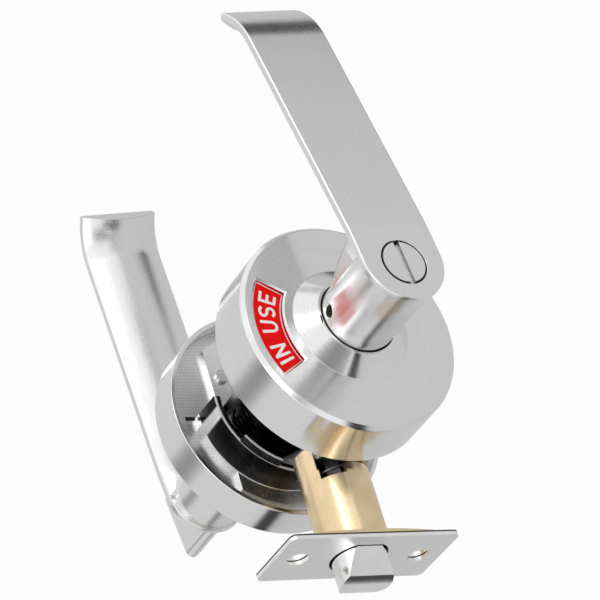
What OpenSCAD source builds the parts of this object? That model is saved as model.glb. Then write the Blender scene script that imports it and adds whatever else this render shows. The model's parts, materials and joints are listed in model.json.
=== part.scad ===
// Privacy lever set with an in-use indicator rose and a spring latch.
// The spindle lies along Y with the outside of the door at -Y and up at +Z.
// The levers point to +X and the latch to -X, towards the edge of the door.

/* [Door] */
// Thickness of the door between the two roses
door_t = 31.75; // [31.75:0.25:45]
// Distance from the edge of the door to the spindle axis
backset = 60.3; // [58:0.1:72]
// Distance of the latch from the middle of the door, towards the outside
latch_offset = 3; // [0:0.1:3.1]

/* [Roses] */
// Outside diameter of both roses
rose_d = 70.6; // [70.2:0.1:78]
// Wall of the spun rose shells
rose_wall = 1.4; // [1:0.1:1.6]
// Thickness of the face and the hub of a rose
face_wall = 0.8; // [0.8:0.1:1.4]
// Bevel round the front rim of a rose
rose_bevel = 1.2; // [0.6:0.1:1.6]
// Height of the outside rose from the door to its rim
outside_rose_h = 18.2; // [17:0.1:24]
// Height of the inside rose from the door to its rim
inside_rose_h = 13.1; // [12.5:0.1:20]
// Rise of the rose face from the rim to the foot of the hub
face_rise = 0.5; // [0.2:0.1:1]
// Width of the face from the edge of the rose to the foot of the hub
face_band = 16.4; // [15.9:0.1:17.3]
// Diameter of the conical hub at its top
hub_top_d = 26; // [25.6:0.1:30]
// Height of the hub above the rim
hub_h = 5.2; // [3:0.1:8]
// Gap between the neck of a lever and the hole in the hub
neck_gap = 0.4; // [0.3:0.05:0.6]

/* [Indicator] */
// Distance of the indicator window from the edge of the rose
window_in = 4; // [3.8:0.1:6]
// Width of the indicator window
window_w = 9.3; // [7:0.1:9.6]
// Half of the angle that the window spans
window_half_a = 31; // [20:1:34]
// Width of the bevel round the window
window_bevel = 0.5; // [0.3:0.05:0.8]
// Width of label hidden behind each edge of the window
label_lap = 0.5; // [0.3:0.1:0.7]
// Thickness of a label plate
label_t = 0.3; // [0.2:0.05:0.5]
// Thickness of the indicator disc
disc_t = 0.8; // [0.6:0.1:1.2]
// Diameter of the hub of the indicator disc
disc_hub_d = 29; // [26:0.5:31]
// Height of the hub of the indicator disc
disc_hub_h = 3.4; // [3:0.1:4]

/* [Levers] */
// Length of a lever from the spindle axis to the end of its tip
lever_len = 100; // [90:1:125]
// Width of the blade
lever_w = 27.4; // [26.8:0.2:32]
// Thickness of the blade along its edges
lever_edge_t = 2.2; // [1.6:0.1:3]
// Extra thickness of the rounded back at the middle of the blade
lever_belly = 4.8; // [3:0.1:6]
// Distance from the spindle axis to the middle of the lever's round end
hub_shift = 1.2; // [0:0.1:1.4]
// Length of the flat root of the blade in front of the neck
root_l = 9.4; // [8:0.1:14]
// Angle by which the blade slopes towards the door
slope_a = 5; // [2:0.5:8]
// Radius of the bend at the tip, on the front face
bend_r = 23; // [18:0.2:36]
// Angle of the bend at the tip
bend_a = 43.5; // [30:0.5:70]
// Distance from the door to the front face of the blade
lever_reach = 53; // [48:0.5:65]
// Diameter of the neck
neck_d = 23.6; // [22:0.1:24]
// Depth to which the neck enters the hub
neck_sink = 1.5; // [0.8:0.1:2.5]
// Angle by which both levers rest above the latch line
lever_tilt = 6.5; // [0:0.5:15]
// Angle by which a lever is pressed down
lever_turn = 50; // [35:1:55]
// Diameter of the set screw hole in the neck
set_screw_d = 3.8; // [3:0.1:4.5]
// Distance of the set screw from the top of the hub
set_screw_up = 3; // [2.6:0.1:6]
// Angle of the set screw from the latch line
set_screw_a = 90; // [60:1:120]
// Length of the set screw
set_screw_l = 2.2; // [1.6:0.1:3]

/* [Spindle sleeves] */
// Diameter of a spindle sleeve
sleeve_d = 16; // [15:0.1:16.6]
// Bore of a spindle sleeve
sleeve_bore = 12; // [10:0.1:13]
// Distance of a sleeve's inner end from the middle of the door
sleeve_start = 3.2; // [3.2:0.1:4]
// Length of the flat floor between the sleeve and the front of the lever
sleeve_floor = 7.5; // [7:0.1:10]
// Outside diameter of a bearing bush
bush_d = 22; // [20:0.1:22.6]
// Distance of a bush's inner end from the middle of the door
bush_start = 11.7; // [11.6:0.1:13]
// Length of the inside bush past its mounting plate
bush_lip = 2.5; // [1:0.1:4]
// Thickness of a retaining ring
clip_t = 1; // [0.8:0.1:1.2]
// Outside diameter of a retaining ring
clip_d = 20; // [18.5:0.1:21]
// Depth of the groove for a retaining ring
clip_groove = 0.6; // [0.4:0.05:0.8]
// Wire diameter of a lever return spring
return_wire = 1.2; // [0.8:0.1:1.3]
// Number of turns of a lever return spring
return_turns = 3; // [2:1:3]
// Gap between the turns of a lever return spring
return_gap = 0.72; // [0.5:0.02:0.8]

/* [Privacy turn] */
// Diameter of the rod through both levers
rod_d = 5; // [4:0.1:6]
// Diameter of the coin plug and of the base of the thumb turn
plug_d = 14.2; // [12:0.1:15]
// Gap round the plug in the lever
plug_gap = 0.3; // [0.2:0.05:0.4]
// Thickness of the plug
plug_t = 6; // [5:0.1:6.5]
// Depth of the rod in the plug
rod_in_plug = 3; // [2:0.1:3.6]
// Width of the coin slot
coin_slot_w = 1.8; // [1.2:0.1:2.4]
// Depth of the coin slot
coin_slot_h = 1.6; // [1:0.1:2]
// Angle between in use and vacant
turn_a = 90; // [75:1:90]
// Length of the thumb turn's wing
wing_l = 23; // [16:0.5:26]
// Thickness of the thumb turn's wing
wing_w = 4.6; // [3:0.1:6]
// Height of the thumb turn's wing
wing_h = 17.6; // [10:0.1:20]
// Diameter of the pin that drives the indicator disc
pin_d = 2; // [1.6:0.1:2.2]
// Length of the drive pin past the sleeve
pin_reach = 4.5; // [3:0.1:5]
// Reach of the drive pin beyond the middle of the rod
pin_tail = 2.2; // [1.5:0.1:3]
// Extra angle at each end of the sleeve's slot
slot_margin_a = 14; // [13:1:18]
// Thickness of the lock cam on the rod
cam_t = 1.1; // [0.8:0.1:1.1]
// Diameter of the round of the lock cam
cam_d = 9; // [8:0.1:10]
// Length of the lock cam's nose from the axis
cam_nose = 7; // [5.5:0.1:8]
// Width of the lock cam's nose
cam_nose_w = 3; // [2:0.1:4]

/* [Mounting] */
// Thickness of both mounting plates
plate_t = 2; // [1.5:0.1:2.5]
// Depth of the outside mounting plate behind the door face
outside_plate_in = 2; // [1:0.1:3]
// Depth of the inside mounting plate behind the door face
inside_plate_in = 5.3; // [4.8:0.1:5.4]
// Distance between the two mounting screws
screw_spacing = 38.1; // [37.4:0.1:40]
// Diameter of the screw posts
post_d = 7; // [6:0.1:7.2]
// Diameter of the riveted end of a screw post
post_spigot_d = 5.6; // [5:0.1:5.8]
// Reach of the screw posts past the middle of the door
post_reach = 5; // [4:0.1:8]
// Diameter of the mounting screws
screw_d = 4; // [3.5:0.1:4.4]
// Length of screw inside a post
screw_in = 14; // [8:0.5:18]
// Diameter of the screw heads
head_d = 7.4; // [6:0.1:8]
// Height of the screw heads
head_h = 2.4; // [1.6:0.1:2.8]
// Width of the cross slot in a screw head
head_slot_w = 1.1; // [0.8:0.1:1.4]
// Depth of the cross slot in a screw head
head_slot_h = 1.2; // [0.8:0.1:1.4]
// Outside diameter of the spring cage
cage_d = 50.4; // [50:0.1:52]
// Wall of the spring cage
cage_wall = 2; // [1.4:0.1:2.2]
// Height of the low rim of the spring cage above the mounting plate
cage_low = 13; // [10:0.1:13.5]
// Height of the high rim of the spring cage above the mounting plate
cage_high = 16.3; // [15:0.1:16.5]
// Angle at which the cage wall starts, from the lever side
cage_start_a = 86; // [80:1:95]
// Angle of the step from the low rim to the high rim
cage_step_a = 124; // [110:1:135]
// Angle where the high rim ends beside the latch
cage_end_a = 156; // [150:1:165]
// Width of the flange of the spring cage
flange_w = 35; // [34:0.5:37]
// Distance of the ends of the flange from the outside of the rose
flange_in = 5.3; // [4.3:0.1:7]
// Thickness of the flange of the spring cage
flange_t = 2; // [1.5:0.1:2.5]
// Bore of the flange round the return spring
flange_bore = 28.4; // [28:0.2:30]
// Distance of the rivets' middle from the wall of the spring cage
rivet_in = 3.1; // [2.6:0.1:3.4]
// Angle of the rivets from the latch line
rivet_a = 41.8; // [36:0.1:48]
// Diameter of a rivet's shank
rivet_d = 3; // [2.4:0.1:3.4]
// Diameter of a rivet's head
rivet_head_d = 4.4; // [4:0.1:4.8]
// Height of a rivet's head
rivet_head_h = 1; // [0.6:0.1:1.4]
// Share of the plate's width outside the cage that the tab slot takes
tab_slot_share = 0.4; // [0.3:0.05:0.7]
// Width of the tab slot in the inside plate
tab_slot_w = 1.4; // [1:0.1:2]
// Distance of the tab slot from the wall of the cage
tab_slot_out = 0.4; // [0.4:0.1:1]

/* [Latch] */
// Width of the faceplate, across the edge of the door
face_w = 25.4; // [24:0.1:28.6]
// Height of the faceplate
face_h = 57.15; // [56:0.05:64]
// Thickness of the faceplate
face_t = 1.6; // [1.2:0.1:3]
// Corner radius of the faceplate
face_r = 2; // [1:0.1:6]
// Distance between the two screw holes in the faceplate
hole_spacing = 41.3; // [39:0.1:45]
// Diameter of the screw holes in the faceplate
hole_d = 7; // [4.5:0.1:8]
// Extra diameter of the screw holes in the back flange
back_hole_extra = 0.4; // [0.2:0.1:1]
// Width of the brass back flange
back_w = 25; // [23:0.1:25.4]
// Height of the brass back flange
back_h = 54; // [53:0.1:55.5]
// Thickness of the brass back flange
back_t = 1.2; // [0.8:0.1:2]
// Bow of the long edges of the brass back flange
back_bow = 3; // [1:0.1:5]
// Outside diameter of the latch tube
tube_d = 21; // [20.4:0.1:22]
// Wall of the latch tube
tube_wall = 1.2; // [0.8:0.05:1.3]
// Distance of the tube's inner end from the spindle axis
tube_end = 26; // [25.6:0.1:28]
// Length of the cut-away side of the tube's inner end
tube_cut_l = 8; // [4:0.1:9]
// Distance of the cut-away side from the tube's axis
tube_cut_y = 5.6; // [4:0.1:8]
// Length of the window in the tube's inner end
tube_window_l = 11.2; // [9:0.1:12]
// Distance from the tube's axis to the lower side of its window
tube_window_z0 = 2; // [0.5:0.1:4]
// Distance from the tube's axis to the upper side of its window
tube_window_z1 = 8.6; // [6:0.1:9]
// Gap between the round sides of the latch bolt and the inside of the tube
bolt_clear = 0.9; // [0.5:0.1:1.5]
// Thickness of the latch bolt between its flat sides
bolt_t = 14.4; // [12:0.1:15]
// Gap round the bolt in the faceplate
bolt_gap = 0.4; // [0.3:0.05:0.6]
// Travel of the bolt, and its length outside the faceplate
bolt_throw = 9; // [8:0.1:10]
// Length of the bolt behind the front of the faceplate
bolt_in = 12.3; // [10:0.1:13]
// Angle of the strike side, which slopes in from the faceplate to the end of the bolt
strike_a = 23; // [15:1:30]
// Radius of the other side at the end of the bolt
nose_r = 3; // [1:0.1:4.5]
// Width of the tail bar
tail_w = 5; // [4:0.1:6]
// Thickness of the tail bar
tail_t = 2; // [1.5:0.1:2.4]
// Length of the tail bar inside the bolt
tail_in = 6; // [4:0.1:7]
// Width of the head of the tail bar
tail_head_w = 12; // [9:0.1:14]
// Length of the head of the tail bar
tail_head_l = 2; // [1.5:0.1:2.5]
// Depth of the spring washer in the tube's inner end
washer_in = 2.5; // [1.5:0.1:3]
// Thickness of the spring washer
washer_t = 1.5; // [1:0.1:2]
// Middle diameter of the latch spring
latch_coil_d = 13; // [11:0.1:14]
// Wire diameter of the latch spring
latch_wire = 1; // [0.6:0.1:1.2]
// Number of turns of the latch spring
latch_turns = 5; // [4:1:6]

/* [Retractor] */
// Thickness of the retractor
retractor_t = 3; // [2.4:0.1:3]
// Width of the retractor
retractor_w = 26; // [25:0.5:27]
// Length of the retractor on the lever side of the spindle
retractor_front = 8; // [7:0.1:9]
// Web between the rod slot and the head of the tail bar
retractor_web = 1.5; // [1:0.1:1.8]
// Length of the hook bar round the tail
hook_l = 2.8; // [2:0.1:3]
// Length of the lug that the retractor cam pushes
lug_l = 4; // [3:0.1:5]
// Width of the lug
lug_w = 3.2; // [2.6:0.1:3.6]
// Height of the lug
lug_h = 3.4; // [3:0.1:3.4]
// Thickness of the clutch ring
dog_t = 3; // [2:0.1:3.4]
// Width of the clutch dogs
dog_w = 3; // [2:0.1:3]
// Diameter of the pin on the retractor cam
cam_pin_d = 3; // [2.4:0.1:3]
// Thickness of the disc of the retractor cam
cam_disc_t = 2; // [1.6:0.1:2.6]
// Distance of the retractor cam's disc from the middle of the door
cam_disc_z = 5.4; // [5.2:0.1:6]
// Margin of the retractor cam's disc round its pin
cam_margin = 1; // [0.6:0.1:1.4]
// Outside diameter of the clutch ring
ring_d = 19; // [18:0.1:20]
// Length of the clutch dogs from the axis
dog_l = 12.6; // [11.5:0.1:13.5]

/* [Fits] */
// Radial clearance of a running fit
run_fit = 0.05; // [0.02:0.01:0.1]
// Radial clearance between pieces fixed together
set_fit = 0.02; // [0.01:0.01:0.04]
// Gap between pieces that pass each other
part_gap = 0.3; // [0.25:0.05:0.35]

/* [Hidden] */
$fn = 72;
fine_fn = 360;
coil_sides = 6;
coil_rings = 8;
cut = 1;
half_circle = 180;
full_circle = 360;
quarter = 90;

outside_face = door_t / 2 - latch_offset;
inside_face = door_t / 2 + latch_offset;
rose_r = rose_d / 2;
hub_base_d = rose_d - 2 * face_band;
hub_hole_d = neck_d + 2 * neck_gap;
outside_rim = outside_face + outside_rose_h;
inside_rim = inside_face + inside_rose_h;
outside_front = outside_face + lever_reach;
inside_front = inside_face + lever_reach;
outside_hub_top = outside_rim + hub_h;
inside_hub_top = inside_rim + hub_h;

window_r1 = rose_r - window_in;
window_r0 = window_r1 - window_w;
rod_short = plug_t - rod_in_plug;
clip_z = bush_start - part_gap - clip_t;

label_top = outside_rim - face_wall - part_gap;
disc_top = label_top - label_t;
disc_hub_z = disc_top - disc_hub_h;
pin_z = disc_top - disc_hub_h / 2;
disc_d = rose_d - 2 * rose_wall - 2 * part_gap;
pin_a = (turn_a - lever_turn) / 2;

outside_plate_z = outside_face + outside_plate_in;
inside_plate_z = inside_face + inside_plate_in;
plate_d = rose_d - 2 * rose_wall - 2 * run_fit;
outside_bush_end = disc_hub_z - part_gap;
inside_bush_end = inside_plate_z + plate_t + bush_lip;
return_coil_d = (bush_d + 2 * part_gap + return_wire) / cos(half_circle / coil_rings);
return_l = return_turns * (return_wire + return_gap) + return_wire;
flange_d = rose_d - 2 * flange_in;
rivet_r = cage_d / 2 - cage_wall - rivet_in;

face_back = backset - face_t;
tube_front = face_back - back_t;
bolt_rear = backset - bolt_in;
washer_z = tube_end + washer_in;
latch_spring_z = washer_z + washer_t + set_fit;
latch_spring_l = bolt_rear - set_fit - latch_spring_z;
bolt_d = tube_d - 2 * tube_wall - 2 * bolt_clear;
bolt_half = bolt_t / 2;

rod_slot_end = bolt_throw + rod_d / 2 + part_gap;
tail_head_z = rod_slot_end + retractor_web + part_gap;
hook_z = tail_head_z + tail_head_l + part_gap;
cam_r = bolt_throw / (2 * sin(lever_turn / 2));
lug_z = bolt_throw / 2 - cam_pin_d / 2 - part_gap;

steel = "#c9cac9";
plated = "#9fa1a2";
dark = "#2e2f31";
brass = "#d3b071";
chrome = "#e3e5e6";
spring_steel = "#77797b";

// Local Z runs from the middle of the door to the outside, with local Y up
module outside() {
    rotate([quarter, 0, 0]) children();
}

// Local Z runs from the middle of the door to the inside, with local Y down
module inside() {
    rotate([-quarter, 0, 0]) children();
}

// Local Z runs from the spindle to the edge of the door, with local X up
module along_latch() {
    rotate([0, -quarter, 0]) children();
}

// Straight tube between two heights
module pipe(d, bore, z0, z1) {
    translate([0, 0, z0]) difference() {
        cylinder(d = d, h = z1 - z0);
        translate([0, 0, -cut]) cylinder(d = bore, h = z1 - z0 + 2 * cut);
    }
}

// Ring sector between two radii and two angles
module sector(r0, r1, a0, a1, z0, z1) {
    rotate([0, 0, a0]) rotate_extrude(angle = a1 - a0) translate([r0, z0]) square([r1 - r0, z1 - z0]);
}

// Plate with rounded corners, centred, standing on its height
module rounded_plate(x, y, r, z0, z1) {
    translate([0, 0, z0]) linear_extrude(z1 - z0) rounded_outline(x, y, r);
}

module rounded_outline(x, y, r) {
    square([x, y - 2 * r], center = true);
    square([x - 2 * r, y], center = true);
    for (sx = [-1, 1], sy = [-1, 1]) translate([sx * (x / 2 - r), sy * (y / 2 - r)]) circle(r);
}

// Points of one ring of a coil spring
function coil_ring(mean_r, wire_r, a, z) = [for (j = [0 : coil_sides - 1])
    let (b = full_circle * j / coil_sides, r = mean_r + wire_r * cos(b))
    [r * cos(a), r * sin(a), z + wire_r * sin(b)]];

// Coil spring as one unbroken tube, standing on its start
module coil(mean_d, wire, turns, length, z0) {
    rings = turns * coil_rings;
    last = rings * coil_sides;
    points = [for (i = [0 : rings])
        each coil_ring(mean_d / 2, wire / 2, full_circle * i / coil_rings,
            z0 + wire / 2 + (length - wire) * i / rings)];
    sides = [for (i = [0 : rings - 1], j = [0 : coil_sides - 1])
        let (k = (j + 1) % coil_sides, a = i * coil_sides, b = a + coil_sides)
        each [[a + j, b + j, b + k], [a + j, b + k, a + k]]];
    start_cap = [for (j = [1 : coil_sides - 2]) [0, j, j + 1]];
    end_cap = [for (j = [1 : coil_sides - 2]) [last, last + j + 1, last + j]];
    echo("Least gap between turns", (length - wire) / turns - wire);
    polyhedron(points = points, faces = concat(sides, start_cap, end_cap));
}

// Half profile of a rose shell from its open rim over the face to the hub and back
function rose_profile(face, rim) =
    let (hub_r = hub_base_d / 2, top_r = hub_top_d / 2, hole_r = hub_hole_d / 2,
        slope = atan((hub_h - face_rise) / (hub_r - top_r)), lean = face_wall * tan(slope / 2))
    [[rose_r, face], [rose_r, rim - rose_bevel], [rose_r - rose_bevel, rim],
        [hub_r, rim + face_rise], [top_r, rim + hub_h], [hole_r, rim + hub_h],
        [hole_r, rim + hub_h - face_wall], [max(hole_r, top_r - lean), rim + hub_h - face_wall],
        [hub_r - lean, rim + face_rise - face_wall], [rose_r - rose_wall, rim - face_wall],
        [rose_r - rose_wall, face]];

module rose_shell(face, rim) {
    rotate_extrude() polygon(rose_profile(face, rim));
}

// Opening of the indicator window, bevelled along its inner and outer edges
module window_cut() {
    low = outside_rim - face_wall - cut;
    bevel_z = outside_rim - window_bevel;
    top = outside_rim + face_rise + cut;
    flare = window_bevel + top - outside_rim;
    rotate([0, 0, quarter - window_half_a]) rotate_extrude(angle = 2 * window_half_a)
        polygon([[window_r0, low], [window_r1, low], [window_r1, bevel_z], [window_r1 + flare, top],
            [window_r0 - flare, top], [window_r0, bevel_z]]);
}

module outside_rose() {
    color(steel) outside() difference() {
        rose_shell(outside_face, outside_rim);
        window_cut();
    }
}

module inside_rose() {
    color(steel) inside() rose_shell(inside_face, inside_rim);
}

module screw_places() {
    for (side = [-1, 1]) translate([0, side * screw_spacing / 2, 0]) children();
}

module outside_plate() {
    color(plated) outside() difference() {
        translate([0, 0, outside_plate_z]) cylinder(d = plate_d, h = plate_t);
        translate([0, 0, outside_plate_z - cut]) cylinder(d = bush_d + 2 * set_fit, h = plate_t + 2 * cut);
        screw_places() translate([0, 0, outside_plate_z - cut])
            cylinder(d = post_spigot_d + 2 * set_fit, h = plate_t + 2 * cut);
    }
}

module screw_posts() {
    color(plated) outside() screw_places() difference() {
        union() {
            translate([0, 0, -post_reach]) cylinder(d = post_d, h = post_reach + outside_plate_z);
            cylinder(d = post_spigot_d, h = outside_plate_z + plate_t);
        }
        translate([0, 0, -post_reach - cut]) cylinder(d = screw_d + 2 * run_fit, h = screw_in + 2 * cut);
    }
}

module outside_bush() {
    color(dark) outside() pipe(bush_d, sleeve_d + 2 * run_fit, bush_start, outside_bush_end);
}

module outside_return_spring() {
    color(dark) outside()
        coil(return_coil_d, return_wire, return_turns, return_l, outside_plate_z + plate_t + set_fit);
}

module rivet_places() {
    for (a = [rivet_a, half_circle - rivet_a, half_circle + rivet_a, -rivet_a])
        rotate([0, 0, a]) translate([rivet_r, 0, 0]) children();
}

module inside_plate() {
    tab_r = cage_d / 2 + tab_slot_out;
    tab_slot_l = tab_slot_share * (plate_d / 2 - tab_r);
    color(plated) inside() difference() {
        translate([0, 0, inside_plate_z]) cylinder(d = plate_d, h = plate_t);
        translate([0, 0, inside_plate_z - cut]) cylinder(d = bush_d + 2 * set_fit, h = plate_t + 2 * cut);
        screw_places() translate([0, 0, inside_plate_z - cut])
            cylinder(d = screw_d + 2 * part_gap, h = plate_t + 2 * cut);
        rivet_places() translate([0, 0, inside_plate_z - cut])
            cylinder(d = rivet_d + 2 * set_fit, h = plate_t + 2 * cut);
        for (side = [-1, 1])
            translate([tab_slot_w, side * (tab_r + tab_slot_l / 2), inside_plate_z + plate_t / 2])
            cube([tab_slot_w, tab_slot_l, plate_t + 2 * cut], center = true);
    }
}

// Flange on the mounting plate with a part-round wall that steps up beside the latch
module spring_cage() {
    cage_r = cage_d / 2;
    wall_r = cage_r - cage_wall;
    low = inside_plate_z - cage_low;
    high = inside_plate_z - cage_high;
    color(dark) inside() {
        difference() {
            intersection() {
                translate([0, 0, inside_plate_z - flange_t]) cylinder(d = flange_d, h = flange_t);
                cube([flange_d, flange_w, 2 * inside_plate_z], center = true);
            }
            cylinder(d = flange_bore, h = inside_plate_z + cut);
            screw_places() cylinder(d = screw_d + 2 * part_gap, h = inside_plate_z + cut);
            rivet_places() cylinder(d = rivet_d + 2 * set_fit, h = inside_plate_z + cut);
        }
        difference() {
            sector(wall_r, cage_r, cage_start_a, full_circle - cage_start_a, high, inside_plate_z);
            cage_low_cut(0, cage_step_a, high - cut, low);
            cage_low_cut(cage_end_a, full_circle - cage_end_a, high - cut, low);
            cage_low_cut(full_circle - cage_step_a, full_circle, high - cut, low);
            screw_places() cylinder(d = screw_d + 2 * part_gap, h = inside_plate_z + cut);
        }
    }
}

// Takes the cage wall down to its low rim between two angles
module cage_low_cut(a0, a1, z0, z1) {
    sector(cage_d / 2 - cage_wall - cut, cage_d / 2 + cut, a0, a1, z0, z1);
}

module cage_rivets() {
    flange_z = inside_plate_z - flange_t;
    color(chrome) inside() rivet_places() {
        translate([0, 0, flange_z]) cylinder(d = rivet_d, h = flange_t + plate_t);
        translate([0, 0, flange_z - rivet_head_h]) cylinder(d = rivet_head_d, h = rivet_head_h);
    }
}

module inside_bush() {
    color(dark) inside() pipe(bush_d, sleeve_d + 2 * run_fit, bush_start, inside_bush_end);
}

module inside_return_spring() {
    color(dark) inside()
        coil(return_coil_d, return_wire, return_turns, return_l, inside_plate_z - return_l - set_fit);
}

module mounting_screws() {
    head_z = inside_plate_z + plate_t;
    color(plated) inside() screw_places() difference() {
        union() {
            translate([0, 0, post_reach - screw_in])
                cylinder(d = screw_d, h = head_z - post_reach + screw_in);
            translate([0, 0, head_z]) cylinder(d = head_d, h = head_h);
        }
        for (a = [0, quarter]) rotate([0, 0, a]) translate([0, 0, head_z + head_h])
            cube([head_d, head_slot_w, 2 * head_slot_h], center = true);
    }
}

module latch_tube() {
    cut_z = tube_end + tube_cut_l;
    color(brass) along_latch() difference() {
        pipe(tube_d, tube_d - 2 * tube_wall, tube_end, tube_front);
        translate([-tube_d / 2, -tube_d / 2 - tube_cut_y, tube_end - cut])
            cube([tube_d, tube_d / 2, cut_z - tube_end + cut]);
        translate([tube_window_z0, -tube_d, tube_end - cut])
            cube([tube_window_z1 - tube_window_z0, tube_d, tube_window_l + cut]);
    }
}

// Cross-section of the bolt or of the opening round it
module bolt_outline(gap) {
    intersection() {
        circle(d = bolt_d + 2 * gap);
        square([bolt_d + 4 * gap, bolt_t + 2 * gap], center = true);
    }
}

module face_holes(d, z0, z1) {
    for (side = [-1, 1]) translate([side * hole_spacing / 2, 0, z0]) cylinder(d = d, h = z1 - z0);
}

module faceplate() {
    color(steel) along_latch() difference() {
        rounded_plate(face_h, face_w, face_r, face_back, backset);
        translate([0, 0, face_back - cut]) linear_extrude(face_t + 2 * cut) bolt_outline(bolt_gap);
        face_holes(hole_d, face_back - cut, backset + cut);
    }
}

// Plate outline with bowed long edges
module bowed_outline(h, w, bow) {
    bow_r = (pow(h / 2, 2) + pow(bow, 2)) / (2 * bow);
    intersection() {
        square([h, w], center = true);
        translate([0, bow_r - w / 2]) circle(bow_r, $fn = fine_fn);
        translate([0, w / 2 - bow_r]) circle(bow_r, $fn = fine_fn);
    }
}

module back_flange() {
    color(brass) along_latch() difference() {
        translate([0, 0, tube_front]) linear_extrude(back_t) bowed_outline(back_h, back_w, back_bow);
        translate([0, 0, tube_front - cut]) linear_extrude(back_t + 2 * cut) bolt_outline(bolt_gap);
        face_holes(hole_d + back_hole_extra, tube_front - cut, face_back + cut);
    }
}

module spring_washer() {
    color(plated) along_latch() difference() {
        translate([0, 0, washer_z]) cylinder(d = tube_d - 2 * tube_wall - 2 * set_fit, h = washer_t);
        translate([0, 0, washer_z + washer_t / 2])
            cube([tail_w + 2 * part_gap, tail_t + 2 * part_gap, washer_t + 2 * cut], center = true);
    }
}

module latch_spring() {
    color(spring_steel) along_latch()
        coil(latch_coil_d, latch_wire, latch_turns, latch_spring_l, latch_spring_z);
}

// Side outline of the bolt, sloped on its strike side towards the outside and rounded on the other
module bolt_side() {
    end = backset + bolt_throw;
    difference() {
        union() {
            translate([-bolt_half, bolt_rear]) square([bolt_t, end - nose_r - bolt_rear]);
            translate([-bolt_half, bolt_rear]) square([bolt_t - nose_r, end - bolt_rear]);
            translate([bolt_half - nose_r, end - nose_r]) circle(nose_r);
        }
        translate([-bolt_half, backset]) rotate(-strike_a) translate([-bolt_t, 0]) square([bolt_t, bolt_t]);
    }
}

module latch_bolt() {
    pocket_z = bolt_rear + tail_in + set_fit;
    color(chrome) along_latch() difference() {
        intersection() {
            translate([0, 0, bolt_rear - cut]) cylinder(d = bolt_d, h = bolt_in + bolt_throw + 2 * cut);
            rotate([quarter, 0, quarter]) translate([0, 0, -bolt_d]) linear_extrude(2 * bolt_d) bolt_side();
        }
        translate([0, 0, (bolt_rear - cut + pocket_z) / 2])
            cube([tail_w + 2 * set_fit, tail_t + 2 * set_fit, pocket_z - bolt_rear + cut], center = true);
    }
}

module tail_bar() {
    tail_end = bolt_rear + tail_in;
    color(plated) along_latch() {
        translate([-tail_w / 2, -tail_t / 2, tail_head_z]) cube([tail_w, tail_t, tail_end - tail_head_z]);
        translate([-tail_head_w / 2, -tail_t / 2, tail_head_z]) cube([tail_head_w, tail_t, tail_head_l]);
    }
}

// Sliding frame round the rod that hooks the tail bar and carries the cam's lug
module retractor() {
    rod_slot_w = rod_d + 2 * part_gap;
    hook_end = hook_z + hook_l;
    head_room = tail_head_w + 2 * part_gap;
    lug_x = cam_r - cam_pin_d / 2 + part_gap;
    color(plated) along_latch() {
        difference() {
            translate([-retractor_w / 2, -retractor_t / 2, -retractor_front])
                cube([retractor_w, retractor_t, retractor_front + hook_end]);
            translate([-rod_slot_w / 2, -retractor_t, -rod_slot_w / 2])
                cube([rod_slot_w, 2 * retractor_t, rod_slot_w / 2 + rod_slot_end]);
            translate([-head_room / 2, -retractor_t, tail_head_z - part_gap])
                cube([head_room, 2 * retractor_t, hook_z - tail_head_z + part_gap]);
            translate([-tail_w / 2 - part_gap, -retractor_t, hook_z - cut])
                cube([tail_w + 2 * part_gap, 2 * retractor_t, hook_l + 2 * cut]);
        }
        translate([lug_x, retractor_t / 2 - set_fit, lug_z - lug_l])
            cube([lug_w, lug_h + set_fit, lug_l]);
    }
}

// Blade section: flat front at zero, rounded back towards minus X
module blade_section() {
    depth = lever_edge_t + lever_belly;
    back_r = (pow(lever_w / 2, 2) + pow(lever_belly, 2)) / (2 * lever_belly);
    intersection() {
        translate([-depth, -lever_w / 2]) square([depth, lever_w]);
        translate([back_r - depth, 0]) circle(back_r);
    }
}

// Straight length of blade along local X
module straight_run(l) {
    rotate([quarter, 0, quarter]) linear_extrude(l) rotate(quarter) blade_section();
}

// Blade with a flat root, a slope towards the door and a bent tip
module blade(front) {
    bend_x = lever_len - bend_r * (sin(slope_a + bend_a) - sin(slope_a));
    drop = (bend_x - hub_shift - root_l) * tan(slope_a);
    slope_l = (bend_x - hub_shift) / cos(slope_a);
    difference() {
        translate([bend_x, 0, front - drop]) rotate([0, slope_a, 0]) {
            translate([-slope_l, 0, 0]) straight_run(slope_l);
            translate([0, 0, -bend_r]) rotate([-quarter, -quarter, 0])
                rotate_extrude(angle = bend_a) translate([bend_r, 0]) blade_section();
        }
        translate([-lever_w, -lever_w, front]) cube(2 * lever_w);
    }
}

// Round end of the blade over the neck
module hub_end(front) {
    translate([hub_shift, 0, front - lever_edge_t]) difference() {
        cylinder(d = lever_w - 2 * set_fit, h = lever_edge_t);
        translate([root_l / 2, -lever_w, -cut]) cube([lever_w, 2 * lever_w, lever_edge_t + 2 * cut]);
    }
}

module set_screw_place(side, tilt, hub_top) {
    rotate([0, 0, side * (set_screw_a - tilt)]) translate([0, 0, hub_top + set_screw_up])
        rotate([0, quarter, 0]) children();
}

// One lever, with side 1 for the outside and -1 for the inside
module lever(side, hub_top, front) {
    neck_start = hub_top - neck_sink;
    rotate([0, 0, side * lever_tilt]) difference() {
        union() {
            blade(front);
            hub_end(front);
            translate([0, 0, neck_start]) cylinder(d = neck_d, h = front - lever_edge_t / 2 - neck_start);
        }
        translate([0, 0, neck_start - cut])
            cylinder(d = sleeve_d + 2 * set_fit, h = front - sleeve_floor + part_gap - neck_start + cut);
        cylinder(d = plug_d + 2 * plug_gap, h = front + cut);
        set_screw_place(side, lever_tilt, hub_top) cylinder(d = set_screw_d, h = neck_d);
    }
}

module outside_lever() {
    color(steel) outside() lever(1, outside_hub_top, outside_front);
}

module inside_lever() {
    color(steel) inside() lever(-1, inside_hub_top, inside_front);
}

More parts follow.
